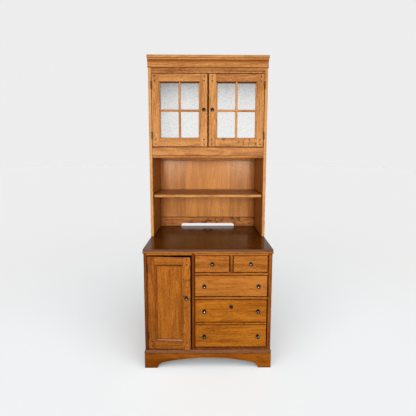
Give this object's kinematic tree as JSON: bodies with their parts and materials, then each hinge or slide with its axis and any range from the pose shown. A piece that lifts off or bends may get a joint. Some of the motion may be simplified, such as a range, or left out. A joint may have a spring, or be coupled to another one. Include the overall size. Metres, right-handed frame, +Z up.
{
  "type": "dresser with hutch",
  "caption": "Oak dresser with hutch: panelled cupboard door and drawers below a dark worktop, open display bays and pebbled-glass doors above, crown on top and bracket feet below.",
  "frame": {"origin": "on the floor, at the middle of the width and of the depth from the foremost knob to the back", "axes": "+Z up, +X to the right seen from the front, +Y to the back; the doors and drawers face -Y"},
  "size_m": [0.844, 0.6304, 2.0855],
  "materials": {
    "honey_oak": "light honey oak, satin lacquer, dark glaze in the joints",
    "amber_oak": "deeper amber oak, satin lacquer",
    "oak_veneer": "oak veneer in upright strips, satin lacquer",
    "oak_top": "dark brown oak, glossy lacquer",
    "drawer_wood": "plain pale secondary wood, clear sealed",
    "obscure_glass": "pebbled obscure glass",
    "dark_pewter": "blackened pewter, half gloss",
    "dark_hinge": "antique dark bronze",
    "steel": "plain bright steel",
    "dark_plastic": "dark brown moulded plastic"
  },
  "bodies": {
    "cabinet": {"base_sides": "amber_oak", "base_partitions": "amber_oak", "base_bottom_board": "drawer_wood", "base_back_panel": "oak_veneer", "face_frame_stiles": "amber_oak", "face_frame_rails": "amber_oak", "base_top": "oak_top", "cable_grommet": "dark_plastic", "plinth_boards": "amber_oak", "base_moulding": "amber_oak", "shelf_pins": "steel", "adjustable_shelves": "honey_oak", "hutch_sides": "honey_oak", "hutch_top_board": "honey_oak", "hutch_cabinet_floor": "honey_oak", "hutch_back_panel": "oak_veneer", "hutch_frieze": "honey_oak", "hutch_lower_rail": "honey_oak", "hutch_back_rails": "honey_oak", "crown_moulding": "honey_oak", "hutch_dowels": "drawer_wood", "hinge_frame_leaves": "dark_hinge", "hinge_pins": "dark_hinge", "door_catches": "dark_plastic", "drawer_runners": "drawer_wood"},
    "left_glass_door": {"left_glass_door_frame": "honey_oak", "left_glass_door_muntins": "honey_oak", "left_glass_door_glass": "obscure_glass", "left_glass_door_glass_stops": "honey_oak", "left_glass_door_pegs": "honey_oak", "left_glass_door_knob": "dark_pewter", "left_glass_door_hinge_leaves": "dark_hinge"},
    "right_glass_door": {"right_glass_door_frame": "honey_oak", "right_glass_door_muntins": "honey_oak", "right_glass_door_glass": "obscure_glass", "right_glass_door_glass_stops": "honey_oak", "right_glass_door_pegs": "honey_oak", "right_glass_door_knob": "dark_pewter", "right_glass_door_hinge_leaves": "dark_hinge"},
    "cupboard_door": {"cupboard_door_frame": "amber_oak", "cupboard_door_panel": "amber_oak", "cupboard_door_pegs": "amber_oak", "cupboard_door_knob": "dark_pewter", "cupboard_door_hinge_leaves": "dark_hinge"},
    "small_left_drawer": {"small_left_drawer_front": "amber_oak", "small_left_drawer_box": "drawer_wood", "small_left_drawer_knobs": "dark_pewter"},
    "small_right_drawer": {"small_right_drawer_front": "amber_oak", "small_right_drawer_box": "drawer_wood", "small_right_drawer_knobs": "dark_pewter"},
    "wide_drawer": {"wide_drawer_front": "amber_oak", "wide_drawer_box": "drawer_wood", "wide_drawer_knobs": "dark_pewter"},
    "file_drawer": {"file_drawer_front": "amber_oak", "file_drawer_box": "drawer_wood", "file_drawer_knobs": "dark_pewter", "file_lock_housing": "dark_pewter"},
    "file_lock": {"file_lock_plug": "dark_pewter"}
  },
  "joints": [
    {"name": "left_glass_door_hinge", "type": "hinge", "parent": "cabinet", "child": "left_glass_door", "pos_m": [-0.39375, -0.01122, 1.7115], "axis": [0, 0, -1], "range_deg": [0, 110]},
    {"name": "right_glass_door_hinge", "type": "hinge", "parent": "cabinet", "child": "right_glass_door", "pos_m": [0.39375, -0.01122, 1.7115], "axis": [0, 0, 1], "range_deg": [0, 110]},
    {"name": "cupboard_door_hinge", "type": "hinge", "parent": "cabinet", "child": "cupboard_door", "pos_m": [-0.38975, -0.27922, 0.455], "axis": [0, 0, -1], "range_deg": [-3.5, 105]},
    {"name": "small_left_drawer_slide", "type": "slide", "parent": "cabinet", "child": "small_left_drawer", "axis": [0, -1, 0], "range_m": [0, 0.32]},
    {"name": "small_right_drawer_slide", "type": "slide", "parent": "cabinet", "child": "small_right_drawer", "axis": [0, -1, 0], "range_m": [0, 0.32]},
    {"name": "wide_drawer_slide", "type": "slide", "parent": "cabinet", "child": "wide_drawer", "axis": [0, -1, 0], "range_m": [0, 0.32]},
    {"name": "file_drawer_slide", "type": "slide", "parent": "cabinet", "child": "file_drawer", "axis": [0, -1, 0], "range_m": [0, 0.34]},
    {"name": "file_lock_turn", "type": "hinge", "parent": "file_drawer", "child": "file_lock", "pos_m": [0.1505, -0.27682, 0.4225], "axis": [0, -1, 0], "range_deg": [0, 90]}
  ]
}
